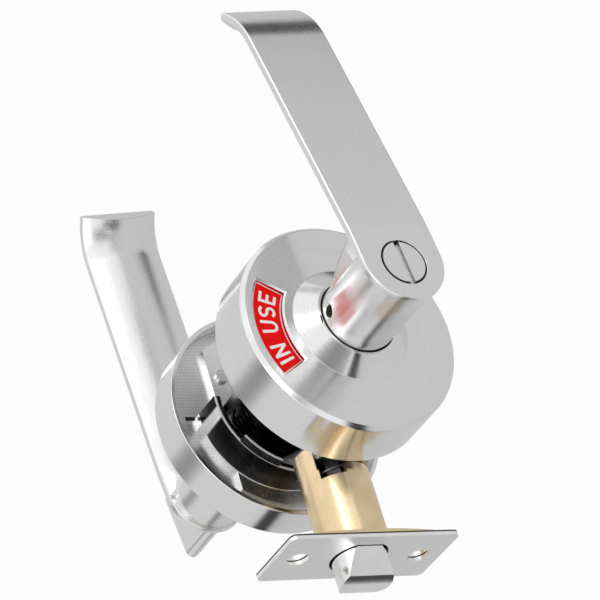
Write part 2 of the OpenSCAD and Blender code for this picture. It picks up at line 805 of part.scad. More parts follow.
// Grub screw that locks a lever on its sleeve
module set_screw(side, hub_top) {
    set_screw_place(side, 0, hub_top)
        translate([0, 0, sleeve_d / 2 + set_fit]) cylinder(d = set_screw_d - 2 * run_fit, h = set_screw_l);
}

module outside_set_screw() {
    color(dark) outside() set_screw(1, outside_hub_top);
}

module inside_set_screw() {
    color(dark) inside() set_screw(-1, inside_hub_top);
}

// Spindle sleeve with the groove for its retaining ring
module sleeve(front) {
    groove_d = sleeve_d - 2 * clip_groove;
    difference() {
        pipe(sleeve_d, sleeve_bore, sleeve_start, front - sleeve_floor);
        pipe(sleeve_d + cut, groove_d, clip_z - set_fit, clip_z + clip_t + set_fit);
    }
}

// The outside sleeve is slotted so that the drive pin can turn in it
module outside_sleeve() {
    slot_half = pin_d / 2 + part_gap;
    color(plated) outside() difference() {
        sleeve(outside_front);
        sector(sleeve_bore / 2 - cut, sleeve_d / 2 + cut, pin_a - turn_a - slot_margin_a,
            pin_a + lever_turn + slot_margin_a, pin_z - slot_half, pin_z + slot_half);
    }
}

module inside_sleeve() {
    color(plated) inside() sleeve(inside_front);
}

module clip() {
    pipe(clip_d, sleeve_d - 2 * clip_groove + 2 * set_fit, clip_z, clip_z + clip_t);
}

module outside_clip() {
    color(spring_steel) outside() clip();
}

module inside_clip() {
    color(spring_steel) inside() clip();
}

// Ring with two dogs on the inner end of the outside sleeve
module clutch_ring() {
    color(plated) outside() difference() {
        union() {
            translate([0, 0, sleeve_start]) cylinder(d = ring_d, h = dog_t);
            translate([-dog_l, -dog_w / 2, sleeve_start]) cube([2 * dog_l, dog_w, dog_t]);
        }
        cylinder(d = sleeve_d + 2 * set_fit, h = sleeve_start + dog_t + cut);
    }
}

// Disc on the inside sleeve whose pin pushes the retractor's lug
module retractor_cam() {
    pin_start = retractor_t / 2 + part_gap;
    color(plated) inside() {
        pipe(2 * cam_r + cam_pin_d + 2 * cam_margin, sleeve_d + 2 * set_fit,
            cam_disc_z, cam_disc_z + cam_disc_t);
        rotate([0, 0, -quarter - lever_turn / 2]) translate([cam_r, 0, pin_start])
            cylinder(d = cam_pin_d, h = cam_disc_z + cam_disc_t / 2 - pin_start);
    }
}

module turn_rod() {
    color(brass) outside() difference() {
        translate([0, 0, rod_short - inside_front])
            cylinder(d = rod_d, h = inside_front + outside_front - 2 * rod_short);
        pin_place() translate([0, 0, -rod_d]) cylinder(d = pin_d + 2 * set_fit, h = 2 * rod_d);
    }
}

// Puts local Z along the drive pin, which crosses the rod
module pin_place() {
    translate([0, 0, pin_z]) rotate([0, 0, pin_a]) rotate([0, quarter, 0]) children();
}

// Plug in the front of a lever with the socket for the rod
module plug(front, proud) {
    difference() {
        translate([0, 0, front - plug_t]) cylinder(d = plug_d, h = plug_t + proud);
        translate([0, 0, front - plug_t - cut])
            cylinder(d = rod_d + 2 * set_fit, h = rod_in_plug + cut + set_fit);
    }
}

module coin_plug() {
    color(steel) outside() rotate([0, 0, lever_tilt]) difference() {
        plug(outside_front, 0);
        translate([0, 0, outside_front]) cube([plug_d + cut, coin_slot_w, 2 * coin_slot_h], center = true);
    }
}

module thumb_turn() {
    straight = wing_l - wing_w;
    color(steel) inside() rotate([0, 0, -lever_tilt]) {
        plug(inside_front, 2 * part_gap);
        translate([0, 0, inside_front + part_gap]) linear_extrude(wing_h - part_gap) {
            square([straight, wing_w], center = true);
            for (side = [-1, 1]) translate([side * straight / 2, 0]) circle(d = wing_w);
        }
    }
}

module drive_pin() {
    color(spring_steel) outside() pin_place()
        translate([0, 0, -pin_tail]) cylinder(d = pin_d, h = pin_tail + sleeve_d / 2 + pin_reach);
}

module lock_cam() {
    cam_z = sleeve_start - part_gap - cam_t;
    color(dark) outside() difference() {
        translate([0, 0, cam_z]) {
            cylinder(d = cam_d, h = cam_t);
            translate([-cam_nose_w / 2, 0, 0]) cube([cam_nose_w, cam_nose, cam_t]);
        }
        cylinder(d = rod_d + 2 * set_fit, h = sleeve_start);
    }
}

module indicator_disc() {
    hub_bore = sleeve_d + 2 * run_fit;
    color(dark) outside() difference() {
        union() {
            translate([0, 0, disc_top - disc_t]) cylinder(d = disc_d, h = disc_t);
            translate([0, 0, disc_hub_z]) cylinder(d = disc_hub_d, h = disc_hub_h);
        }
        translate([0, 0, disc_hub_z - cut]) cylinder(d = hub_bore, h = disc_hub_h + 2 * cut);
        pin_place() cylinder(d = pin_d + 2 * set_fit, h = sleeve_d / 2 + pin_reach + set_fit);
    }
}

// Label plate on the indicator disc, a little larger than the window
module label_plate(a) {
    lap_a = atan(label_lap / window_r0);
    sector(window_r0 - label_lap, window_r1 + label_lap,
        a - window_half_a - lap_a, a + window_half_a + lap_a, disc_top, label_top);
}

module in_use_label() {
    color("red") outside() label_plate(quarter);
}

module vacant_label() {
    color("green") outside() label_plate(quarter + turn_a);
}

outside_rose();
outside_plate();
outside_bush();
outside_return_spring();
screw_posts();
inside_rose();
inside_plate();
spring_cage();
cage_rivets();
inside_bush();
inside_return_spring();
mounting_screws();
latch_tube();
faceplate();
back_flange();
spring_washer();
latch_spring();
latch_bolt();
tail_bar();
retractor();
outside_lever();
outside_sleeve();
outside_clip();
outside_set_screw();
clutch_ring();
inside_lever();
inside_sleeve();
inside_clip();
inside_set_screw();
retractor_cam();
turn_rod();
coin_plug();
thumb_turn();
drive_pin();
lock_cam();
indicator_disc();
in_use_label();
vacant_label();
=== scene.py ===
import json
import bmesh
import bpy
import numpy as np
from mathutils import Matrix


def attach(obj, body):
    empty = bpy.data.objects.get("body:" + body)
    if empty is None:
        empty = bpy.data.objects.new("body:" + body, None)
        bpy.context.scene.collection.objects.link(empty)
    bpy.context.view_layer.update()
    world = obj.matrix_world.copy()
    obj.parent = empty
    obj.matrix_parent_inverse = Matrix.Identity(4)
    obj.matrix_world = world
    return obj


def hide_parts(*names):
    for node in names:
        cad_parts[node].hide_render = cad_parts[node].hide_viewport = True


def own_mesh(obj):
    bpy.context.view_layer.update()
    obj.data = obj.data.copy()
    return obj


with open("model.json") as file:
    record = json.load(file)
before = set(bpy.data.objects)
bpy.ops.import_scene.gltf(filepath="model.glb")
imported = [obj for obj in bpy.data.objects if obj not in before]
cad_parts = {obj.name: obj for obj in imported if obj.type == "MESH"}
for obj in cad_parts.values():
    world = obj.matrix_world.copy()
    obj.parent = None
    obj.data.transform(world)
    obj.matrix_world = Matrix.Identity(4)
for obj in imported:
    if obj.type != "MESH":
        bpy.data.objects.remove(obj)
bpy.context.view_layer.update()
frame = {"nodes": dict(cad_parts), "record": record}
nodes = frame["nodes"]
print("frame loaded with", len(nodes), "nodes")

mm = 0.001
weld = 5000
leverTilt = 6.5
# the latch is drawn along Z and turned to its line, which lies along -X
latchWay = np.array([[0, 0, 1], [0, 1, 0], [-1, 0, 0]], float)


# mesh tools

def unit(v):
    return v / np.maximum(np.linalg.norm(v, axis=-1, keepdims=True), 1e-12)


def rounded(corners, radii, closed=True, steps=6, support=0.04):
    # each corner becomes an arc that touches both of its sides, with a support point off each end of it
    p = np.array(corners, float)
    r = np.broadcast_to(np.array(radii, float), len(p)).copy()
    a, b = np.roll(p, 1, 0) - p, np.roll(p, -1, 0) - p
    if not closed:
        r[[0, -1]] = 0
        a[0], b[-1] = -b[0], -a[-1]
    a, b = unit(a), unit(b)
    half = np.clip(0.5 * np.arccos(np.clip((a * b).sum(1), -1, 1)), 1e-3, np.pi / 2 - 1e-3)
    reach = (r / np.tan(half))[:, None]
    middle = p + unit(a + b) * (r / np.sin(half))[:, None]
    u, w = p + a * reach - middle, p + b * reach - middle
    sweep = (np.pi - 2 * half)[:, None, None]
    t = np.linspace(0, 1, steps + 1)[None, :, None]
    arc = middle[:, None] + (np.sin((1 - t) * sweep) * u[:, None] + np.sin(t * sweep) * w[:, None]) / np.sin(sweep)
    ends = (p + a * (reach + support))[:, None], (p + b * (reach + support))[:, None]
    path = np.concatenate([ends[0], arc, ends[1]], 1)
    path = np.where((r < 1e-6)[:, None, None], p[:, None], path).reshape(-1, 2)
    return path[np.r_[True, np.linalg.norm(np.diff(path, axis=0), axis=1) > 1e-5]]


class Skin:
    # gathers grids of points in millimetres and welds them into one mesh
    def __init__(self):
        self.points, self.quads, self.shells = [], [], []
        self.count, self.shell = 0, 0

    def next(self):
        self.shell += 1
        return self

    def grid(self, points, wrapU=False, wrapV=False):
        # neighbours along both parameters are joined by quads
        nu, nv = points.shape[:2]
        i, j = np.meshgrid(np.arange(nu - (not wrapU)), np.arange(nv - (not wrapV)), indexing="ij")
        i2, j2 = (i + 1) % nu, (j + 1) % nv
        quads = np.stack([i * nv + j, i2 * nv + j, i2 * nv + j2, i * nv + j2], -1)
        self.quads.append(quads.reshape(-1, 4) + self.count)
        self.points.append(points.reshape(-1, 3))
        self.shells.append(np.full(nu * nv, self.shell))
        self.count += nu * nv
        return self

    def cap(self, loop):
        # a flat end: the loop joined to its middle
        return self.grid(np.stack([loop, np.broadcast_to(loop.mean(0), loop.shape)]), wrapV=True)

    def piece(self, name, body, finishes, slot, replaced=(), sharp=35):
        # points within 1 / weld mm are one inside a shell, and each shell takes its own finish or the last one
        points, quads = np.concatenate(self.points), np.concatenate(self.quads)
        shells = np.concatenate(self.shells)
        key = np.column_stack([np.round(points * weld).astype(np.int64), shells])
        _, first, index = np.unique(key, axis=0, return_index=True, return_inverse=True)
        quads = index.reshape(-1)[quads]
        tris = np.concatenate([quads[:, [0, 1, 2]], quads[:, [0, 2, 3]]])
        tris = tris[(tris[:, 0] != tris[:, 1]) & (tris[:, 1] != tris[:, 2]) & (tris[:, 0] != tris[:, 2])]
        used, tris = np.unique(tris, return_inverse=True)
        tris = tris.reshape(-1, 3)
        mesh = bpy.data.meshes.new(name)
        mesh.from_pydata((points[first][used] * mm).tolist(), [], tris.tolist())
        for finish in finishes:
            mesh.materials.append(finish.material)
        slots = np.minimum(shells[first][used][tris[:, 0]], len(finishes) - 1)
        mesh.polygons.foreach_set("material_index", slots.astype(np.int32))
        shape = bmesh.new()
        shape.from_mesh(mesh)
        bmesh.ops.recalc_face_normals(shape, faces=shape.faces)
        shape.to_mesh(mesh)
        shape.free()
        mesh.polygons.foreach_set("use_smooth", np.ones(len(mesh.polygons), bool))
        mesh.set_sharp_from_angle(angle=np.radians(sharp))
        obj = bpy.data.objects.new(name, mesh)
        bpy.context.scene.collection.objects.link(obj)
        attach(obj, body)
        if replaced:
            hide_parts(*replaced)
        print("made", name, "with", len(mesh.polygons), "faces")
        return obj


def ring(a0, a1, count):
    return np.radians(np.linspace(a0, a1, count))


def turned(profile, angles):
    # (radius, height along the spindle) carried round the spindle, which lies along Y
    r, y = profile[:, 0][None, :], profile[:, 1][None, :]
    a = angles if angles.ndim == 2 else angles[:, None]
    return np.stack(np.broadcast_arrays(r * np.cos(a), y, r * np.sin(a)), -1)


plateForm = {"holeSupport": 0.03, "support": 0.05, "under": 0.6, "underSupport": 0.04,
             "shares": (0.985, 0.75, 0.5, 0.25), "steps": 5}


def holedPlate(outline, outWay, hole, holeWay, top, bottom, edge, holeEdge):
    # rings of a plate with one hole: up the hole, over the top to the outline, down and back under to the hole;
    # outWay and holeWay are the ways out of the metal in the plane, zero where the plate runs on
    f = np.linspace(0, np.pi / 2, plateForm["steps"] + 1)
    rings = []

    def add(p, h):
        rings.append(np.column_stack([p, np.broadcast_to(h, len(p))]))

    live = np.linalg.norm(outWay, axis=1)
    soft, spare = edge * plateForm["under"], plateForm["support"]
    add(hole, bottom(hole))
    add(hole, top - holeEdge - plateForm["holeSupport"])
    for s in f:
        add(hole - holeWay * holeEdge * (1 - np.cos(s)), top - holeEdge * (1 - np.sin(s)))
    add(hole - holeWay * (holeEdge + spare), top)
    add(outline - outWay * (edge + spare), top)
    for s in f:
        add(outline - outWay * edge * (1 - np.sin(s)), top - edge * (1 - np.cos(s)) * live)
    low = bottom(outline)
    add(outline, low + soft + plateForm["underSupport"])
    for s in f:
        add(outline - outWay * soft * (1 - np.cos(s)), low + soft * (1 - np.sin(s)) * live)
    for share in plateForm["shares"]:
        p = hole + (outline - outWay * soft - hole) * share
        add(p, bottom(p))
    return np.stack(rings)


def raisedSlab(v, half, top, bottom, across=25):
    # a solid over the strip |u| < half(v): its top follows v, and its walls stand straight down
    t = np.linspace(-1, 1, across)[None, :]
    u = t * half[:, None]
    vv, one = np.broadcast_to(v[:, None], u.shape), np.ones_like(u)
    high, low = np.stack([u, vv, top[:, None] * one], -1), np.stack([u, vv, bottom * one], -1)
    walls = [np.stack([high[:, 0], low[:, 0]]), np.stack([high[:, -1], low[:, -1]]),
             np.stack([high[0], low[0]]), np.stack([high[-1], low[-1]])]
    return [high, low] + walls


# finishes

class Sock:
    # one output of a finish's nodes, with arithmetic
    def __init__(self, finish, socket):
        self.finish, self.socket = finish, socket

    def calc(self, operation, *others):
        return self.finish.node("ShaderNodeMath", {"operation": operation}, dict(enumerate((self,) + others)))

    def __add__(self, other):
        return self.calc("ADD", other)

    __radd__ = __add__

    def __mul__(self, other):
        return self.calc("MULTIPLY", other)

    __rmul__ = __mul__

    def __sub__(self, other):
        return self.calc("SUBTRACT", other)

    def __rsub__(self, other):
        return self * -1 + other

    def __truediv__(self, other):
        return self.calc("DIVIDE", other)


class Finish:
    # a Principled material whose varying inputs are wired with Python expressions
    def __init__(self, name, fixed):
        self.material = bpy.data.materials.new(name)
        self.material.use_nodes = True
        self.tree = self.material.node_tree
        self.shader = self.tree.nodes["Principled BSDF"]
        for key, value in fixed.items():
            self.feed(key, value)

    def feed(self, socket, value, node=None):
        target = (node or self.shader).inputs[socket]
        if isinstance(value, Sock):
            self.tree.links.new(value.socket, target)
        else:
            target.default_value = value

    def node(self, kind, settings=None, sockets=None, out=0):
        made = self.tree.nodes.new(kind)
        for key, value in (settings or {}).items():
            setattr(made, key, value)
        for key, value in (sockets or {}).items():
            self.feed(key, value, made)
        return Sock(self, made.outputs[out])

    def place(self):
        return self.node("ShaderNodeTexCoord", out="Object")

    def parts(self, vector):
        split = self.node("ShaderNodeSeparateXYZ", sockets={"Vector": vector})
        return [Sock(self, o) for o in split.socket.node.outputs]

    def vector(self, x, y, z):
        return self.node("ShaderNodeCombineXYZ", sockets={"X": x, "Y": y, "Z": z})

    def length(self, x, y, z):
        return self.node("ShaderNodeVectorMath", {"operation": "LENGTH"}, {0: self.vector(x, y, z)}, out="Value")

    def noise(self, vector, scale, detail=2.0, rough=0.5):
        return self.node("ShaderNodeTexNoise", {"noise_dimensions": "3D"},
                         {"Vector": vector, "Scale": scale, "Detail": detail, "Roughness": rough})

    def mix(self, share, first, second):
        return self.node("ShaderNodeMix", {"data_type": "RGBA"}, {0: share, 6: first, 7: second}, out=2)

    def remap(self, value, low, high, toLow, toHigh):
        return self.node("ShaderNodeMapRange", {"clamp": True},
                         {"Value": value, "From Min": low, "From Max": high, "To Min": toLow, "To Max": toHigh})

    def bump(self, height, distance, strength=1.0):
        made = self.node("ShaderNodeBump", sockets={"Height": height, "Distance": distance, "Strength": strength})
        self.feed("Normal", made)


def grey(value):
    return (value, value, value, 1)


# scale, detail and roughness of the noises, and the part of their range that is put to use
grainNoise = (1.0, 3.0, 0.6)
cloudNoise = (4.0, 0.6)
spread = (0.35, 0.65)
wideSpread = (0.3, 0.7)
pitStrength = 0.3


def brushedSteel(name, settings, turn=None):
    # lines of a brushed finish: round the spindle, or along a lever that is turned up by an angle
    made = Finish(name, {"Metallic": 1.0})
    p = made.place()
    if turn is None:
        x, y, z = made.parts(p)
        angle = z.calc("ARCTAN2", x)
        lines = made.vector(made.length(x, 0.0, z) * settings["fineness"], y * settings["fineness"],
                            angle * settings["length"])
    else:
        turnedPlace = made.node("ShaderNodeVectorRotate", {"rotation_type": "Y_AXIS"}, {"Vector": p, "Angle": turn})
        a, b, c = made.parts(turnedPlace)
        lines = made.vector(a * settings["length"], b * settings["fineness"], c * settings["fineness"])
    fine = made.noise(lines, *grainNoise)
    broad = made.noise(p, settings["cloud"])
    tone = fine * settings["fineTone"] + broad * (1 - settings["fineTone"])
    gloss = fine * settings["fineGloss"] + broad * (1 - settings["fineGloss"])
    made.feed("Base Color", made.mix(made.remap(tone, *wideSpread, 0.0, 1.0),
                                     grey(settings["dark"]), grey(settings["light"])))
    made.feed("Roughness", made.remap(gloss, *wideSpread, settings["smooth"], settings["rough"]))
    made.bump(fine, settings["depth"], settings["strength"])
    return made


steelRound = {"fineness": 2600.0, "length": 2.2, "cloud": 60.0, "fineTone": 0.7, "fineGloss": 0.6,
              "dark": 0.78, "light": 0.87, "smooth": 0.13, "rough": 0.19, "depth": 0.000005, "strength": 0.25}
steelLong = {"fineness": 2600.0, "length": 55.0, "cloud": 60.0, "fineTone": 0.7, "fineGloss": 0.6,
             "dark": 0.79, "light": 0.87, "smooth": 0.22, "rough": 0.3, "depth": 0.000006, "strength": 0.25}


def plainMetal(name, settings):
    # rolled or plated metal: soft clouds in tone and roughness, with fine pits
    made = Finish(name, {"Metallic": 1.0})
    p = made.place()
    cloud = made.noise(p, settings["cloud"], *cloudNoise)
    pits = made.noise(p, settings["pits"])
    tone = made.remap(cloud, *spread, 0.0, 1.0)
    made.feed("Base Color", made.mix(tone, settings["dark"], settings["light"]))
    made.feed("Roughness", made.remap(cloud * 0.5 + pits * 0.5, *spread, settings["smooth"], settings["rough"]))
    made.bump(pits, settings["depth"], pitStrength)
    return made


ink = {"rough": 0.55, "shine": 0.12, "mottle": 420.0, "mottleDetail": 3.0, "peel": 2400.0, "peelDetail": 1.0,
       "depth": 0.000004, "strength": 0.2}


def printedPlate(name, colour, deep):
    # printed plastic: an even ink with a faint mottle and a slight orange peel
    made = Finish(name, {"Roughness": ink["rough"], "Specular IOR Level": ink["shine"]})
    p = made.place()
    mottle = made.noise(p, ink["mottle"], ink["mottleDetail"])
    made.feed("Base Color", made.mix(made.remap(mottle, *spread, 0.0, 1.0), deep, colour))
    made.bump(made.noise(p, ink["peel"], ink["peelDetail"]), ink["depth"], ink["strength"])
    return made


roseSteel = brushedSteel("satinSteelRound", steelRound)
neckSteel = brushedSteel("satinSteelNeck", {**steelRound, "smooth": 0.22, "rough": 0.28, "strength": 0.1})
leverSteel = brushedSteel("satinSteelLever", steelLong, np.radians(leverTilt))
zincPlate = plainMetal("zincPlate", {"cloud": 160.0, "pits": 2200.0, "dark": grey(0.42), "light": grey(0.58),
                                     "smooth": 0.25, "rough": 0.42, "depth": 0.00001})
darkMetal = plainMetal("darkMetal", {"cloud": 120.0, "pits": 1800.0, "dark": grey(0.03), "light": grey(0.06),
                                     "smooth": 0.12, "rough": 0.25, "depth": 0.000006})
blackOxide = plainMetal("blackOxide", {"cloud": 300.0, "pits": 3000.0, "dark": grey(0.008), "light": grey(0.016),
                                       "smooth": 0.45, "rough": 0.6, "depth": 0.000006})
brassTone = {"cloud": 90.0, "pits": 2600.0, "dark": (0.8, 0.61, 0.36, 1), "light": (0.92, 0.74, 0.48, 1),
             "smooth": 0.2, "rough": 0.28, "depth": 0.000004}
brassMetal = plainMetal("brassMetal", brassTone)
chromeMetal = plainMetal("chrome", {"cloud": 70.0, "pits": 2600.0, "dark": grey(0.82), "light": grey(0.9),
                                    "smooth": 0.06, "rough": 0.11, "depth": 0.000002})
springSteel = plainMetal("springSteel", {"cloud": 300.0, "pits": 2600.0, "dark": grey(0.22), "light": grey(0.36),
                                         "smooth": 0.25, "rough": 0.4, "depth": 0.000006})
blackPlastic = printedPlate("blackPlastic", grey(0.035), grey(0.02))
redLabel = printedPlate("redLabel", (0.93, 0.002, 0.002, 1), (0.88, 0.002, 0.002, 1))
greenLabel = printedPlate("greenLabel", (0.01, 0.4, 0.06, 1), (0.008, 0.36, 0.05, 1))
whiteInk = printedPlate("whiteInk", grey(0.92), grey(0.88))


faceSteel = {"grain": (900.0, 2400.0, 60.0), "back": (-0.05925, -0.0591), "mouthRadius": 0.0088, "mouthHalf": 0.0076,
             "mouthEdge": (0.00022, 0.0003), "cut": 0.06, "dark": 0.9, "light": 0.98, "smooth": 0.36, "rough": 0.44,
             "depth": 0.000004, "strength": 0.25}


def facePlateSteel():
    # matt rolled steel, with shade painted dark on the back of its cut edges and in a thin ring round the bolt's mouth
    made = Finish("facePlateSteel", {"Metallic": 1.0})
    x, y, z = made.parts(made.place())
    scaleX, scaleY, scaleZ = faceSteel["grain"]
    grain = made.noise(made.vector(x * scaleX, y * scaleY, z * scaleZ), *grainNoise)
    level = y.calc("ABSOLUTE") - faceSteel["mouthHalf"]
    mouth = (made.length(0.0, y, z) - faceSteel["mouthRadius"]).calc("MAXIMUM", level)
    # painted shade: behind the front face and round the bolt's mouth the colour falls to the dark shade tone
    front = made.remap(x, *faceSteel["back"], 1.0, 0.0) * made.remap(mouth, *faceSteel["mouthEdge"], 0.0, 1.0)
    face = made.mix(made.remap(grain, *wideSpread, 0.0, 1.0), grey(faceSteel["dark"]), grey(faceSteel["light"]))
    made.feed("Base Color", made.mix(front, grey(faceSteel["cut"]), face))
    made.feed("Roughness", made.remap(grain, *wideSpread, faceSteel["smooth"], faceSteel["rough"]))
    made.bump(grain, faceSteel["depth"], faceSteel["strength"])
    return made


hatch = {"pitch": 0.0011, "sharp": 8.0, "cloud": 150.0, "cloudShare": 0.75, "tones": (0.3, 0.75), "dark": 0.72,
         "light": 0.98, "smooth": 0.3, "rough": 0.45, "depth": 0.00003, "strength": 0.3}


def hatchedZinc():
    # plated sheet with a fine pressed crosshatch: h = max(sin^8 x, sin^8 z)
    made = Finish("hatchedZinc", {"Metallic": 1.0})
    p = made.place()
    x, _, z = made.parts(p)
    across = (x * (np.pi / hatch["pitch"])).calc("SINE").calc("POWER", hatch["sharp"])
    along = (z * (np.pi / hatch["pitch"])).calc("SINE").calc("POWER", hatch["sharp"])
    lines = across.calc("MAXIMUM", along)
    cloud = made.noise(p, hatch["cloud"], *cloudNoise)
    tone = cloud * hatch["cloudShare"] + lines * (1 - hatch["cloudShare"])
    made.feed("Base Color", made.mix(made.remap(tone, *hatch["tones"], 0.0, 1.0),
                                     grey(hatch["dark"]), grey(hatch["light"])))
    made.feed("Roughness", made.remap(cloud, *spread, hatch["smooth"], hatch["rough"]))
    made.bump(lines, hatch["depth"], hatch["strength"])
    return made


cage = {"cloud": 140.0, "flange": (0.0218, 0.0221), "step": 0.011175, "stepEdge": (0.00006, 0.00012),
        "end": (0.00792, 0.008), "rim": (0.0243, 0.0246), "bandAt": 1.72, "bandEdge": (0.06, 0.09),
        "wall": (0.025, 0.0251), "dark": (0.02, 0.05), "pale": (0.8, 0.92), "smooth": 0.2, "rough": 0.32,
        "depth": 0.00001, "strength": 0.2, "shine": 0.5}


def cageSteel():
    # blackened pressing with a worn pale flange; highlights are painted pale on the step's edge, on the cut end of the
    # rim and as one band on the wall
    made = Finish("cageSteel", {"Specular IOR Level": cage["shine"]})
    p = made.place()
    x, y, z = made.parts(p)
    r = made.length(x, 0.0, z)
    cloud = made.noise(p, cage["cloud"], *cloudNoise)
    tone = made.remap(cloud, *spread, 0.0, 1.0)
    flange = made.remap(y, *cage["flange"], 0.0, 1.0)
    # painted highlights: pale lines on the edge of the step and on the cut end of the rim, and a pale band on the wall
    # near its end
    step = made.remap((y - cage["step"]).calc("ABSOLUTE"), *cage["stepEdge"], 1.0, 0.0)
    end = made.remap(y, *cage["end"], 1.0, 0.0)
    rim = step.calc("MAXIMUM", end) * made.remap(r, *cage["rim"], 0.0, 1.0)
    highlightBand = made.remap((z.calc("ARCTAN2", x) - cage["bandAt"]).calc("ABSOLUTE"), *cage["bandEdge"], 1.0, 0.0)
    highlightBand = highlightBand * made.remap(r, *cage["wall"], 0.0, 1.0)
    paleFlangeAndHighlights = flange.calc("MAXIMUM", rim).calc("MAXIMUM", highlightBand)
    dark, pale = [made.mix(tone, grey(cage[key][0]), grey(cage[key][1])) for key in ("dark", "pale")]
    made.feed("Base Color", made.mix(paleFlangeAndHighlights, dark, pale))
    # the painted highlights are not metallic, so they stay pale under any light
    made.feed("Metallic", 1.0 - rim.calc("MAXIMUM", highlightBand))
    made.feed("Roughness", made.remap(cloud, *spread, cage["smooth"], cage["rough"]))
    made.bump(cloud, cage["depth"], cage["strength"])
    return made


plug = {"edge": (0.00672, 0.00686), "slot": (-0.06565, -0.0655), "faceTone": 0.84, "slotTone": 0.6, "gapShade": 0.015}


def plugSteel():
    # the coin plug is brushed like the lever; shade is painted darker in its slot, and as a near-black ring in the gap
    # at its edge
    made = brushedSteel("plugSteel", steelLong, np.radians(leverTilt))
    x, y, z = made.parts(made.place())
    # painted shade: a near-black ring that is not metallic at the plug's edge, and a darker tone on the slot's floor
    edge = made.remap(made.length(x, 0.0, z), *plug["edge"], 0.0, 1.0)
    slot = made.remap(y, *plug["slot"], 0.0, 1.0)
    face = made.mix(slot, grey(plug["faceTone"]), grey(plug["slotTone"]))
    made.feed("Base Color", made.mix(edge, face, grey(plug["gapShade"])))
    made.feed("Metallic", 1.0 - edge)
    return made


flange = {"screwAt": 0.02065, "hole": (0.0038, 0.00385), "tone": (0.86, 0.68, 0.42, 1), "plated": 0.97}


def flangeBrass():
    # brass whose screw holes are plated inside
    made = plainMetal("flangeBrass", brassTone)
    _, y, z = made.parts(made.place())
    r = made.length(0.0, y, z.calc("ABSOLUTE") - flange["screwAt"])
    hole = made.remap(r, *flange["hole"], 1.0, 0.0)
    made.feed("Base Color", made.mix(hole, flange["tone"], grey(flange["plated"])))
    return made


plateSteel = facePlateSteel()
hatchedPlate = hatchedZinc()
finishOf = {"satin_steel": roseSteel, "plate_steel": plateSteel, "zinc_plate": zincPlate, "dark_metal": darkMetal,
            "brass": brassMetal, "chrome": chromeMetal, "spring_steel": springSteel, "black_plastic": blackPlastic,
            "red_label": redLabel, "green_label": greenLabel}
print("finishes made:", len(finishOf))


# roses

rose = {"radius": 35.3, "wall": 1.4, "faceWall": 0.8, "bevel": 1.2, "rise": 0.5, "hubFoot": 18.9, "hubTop": 13,
        "hubHeight": 5.2, "hubLean": 0.28, "hole": 12.2, "outsideDoor": 12.875, "outsideRim": 31.075,
        "insideDoor": 18.875, "insideRim": 31.975, "rimSoft": [0, 0.2, 0.2, 0.25, 0.3, 0.3, 0],
        "hubSoft": [0, 0.4, 0.3, 0.15, 0.15, 0.1, 0.2, 0], "around": 289}
window = {"inner": 22, "outer": 31.3, "half": 31, "bevel": 0.5, "middle": 90, "along": 61, "beyond": 231,
          "across": 9}


def faceHeight(r, rim):
    # the face rises evenly from the rim's bevel to the foot of the hub
    edge = rose["radius"] - rose["bevel"]
    return rim + rose["rise"] * (edge - r) / (edge - rose["hubFoot"])


def roseParts(door, rim, lap):
    # profile outside the window band, from under the face round the rim, and inside it, over the hub and back under
    r0, inside, thin, bevel = rose["radius"], rose["radius"] - rose["wall"], rose["faceWall"], rose["bevel"]
    outer, inner = window["outer"], window["inner"]
    rimPart = rounded([(outer, faceHeight(outer, rim) - thin), (inside, rim - thin), (inside, door), (r0, door),
                       (r0, rim - bevel), (r0 - bevel, rim), (outer + lap, faceHeight(outer + lap, rim))],
                      rose["rimSoft"], closed=False)
    foot, top = rim + rose["rise"], rim + rose["hubHeight"]
    hubPart = rounded([(inner - lap, faceHeight(inner - lap, rim)), (rose["hubFoot"], foot), (rose["hubTop"], top),
                       (rose["hole"], top), (rose["hole"], top - thin), (rose["hubTop"] - rose["hubLean"], top - thin),
                       (rose["hubFoot"] - rose["hubLean"], foot - thin), (inner, faceHeight(inner, rim) - thin)],
                      rose["hubSoft"], closed=False)
    return rimPart, hubPart


def insideRose():
    loop = np.concatenate(roseParts(rose["insideDoor"], rose["insideRim"], 0))
    Skin().grid(turned(loop, ring(0, 360, rose["around"])[:-1]), wrapU=True, wrapV=True).piece(
        "insideRose", "fixed_set", [roseSteel], "satin_steel", ["inside_rose"])


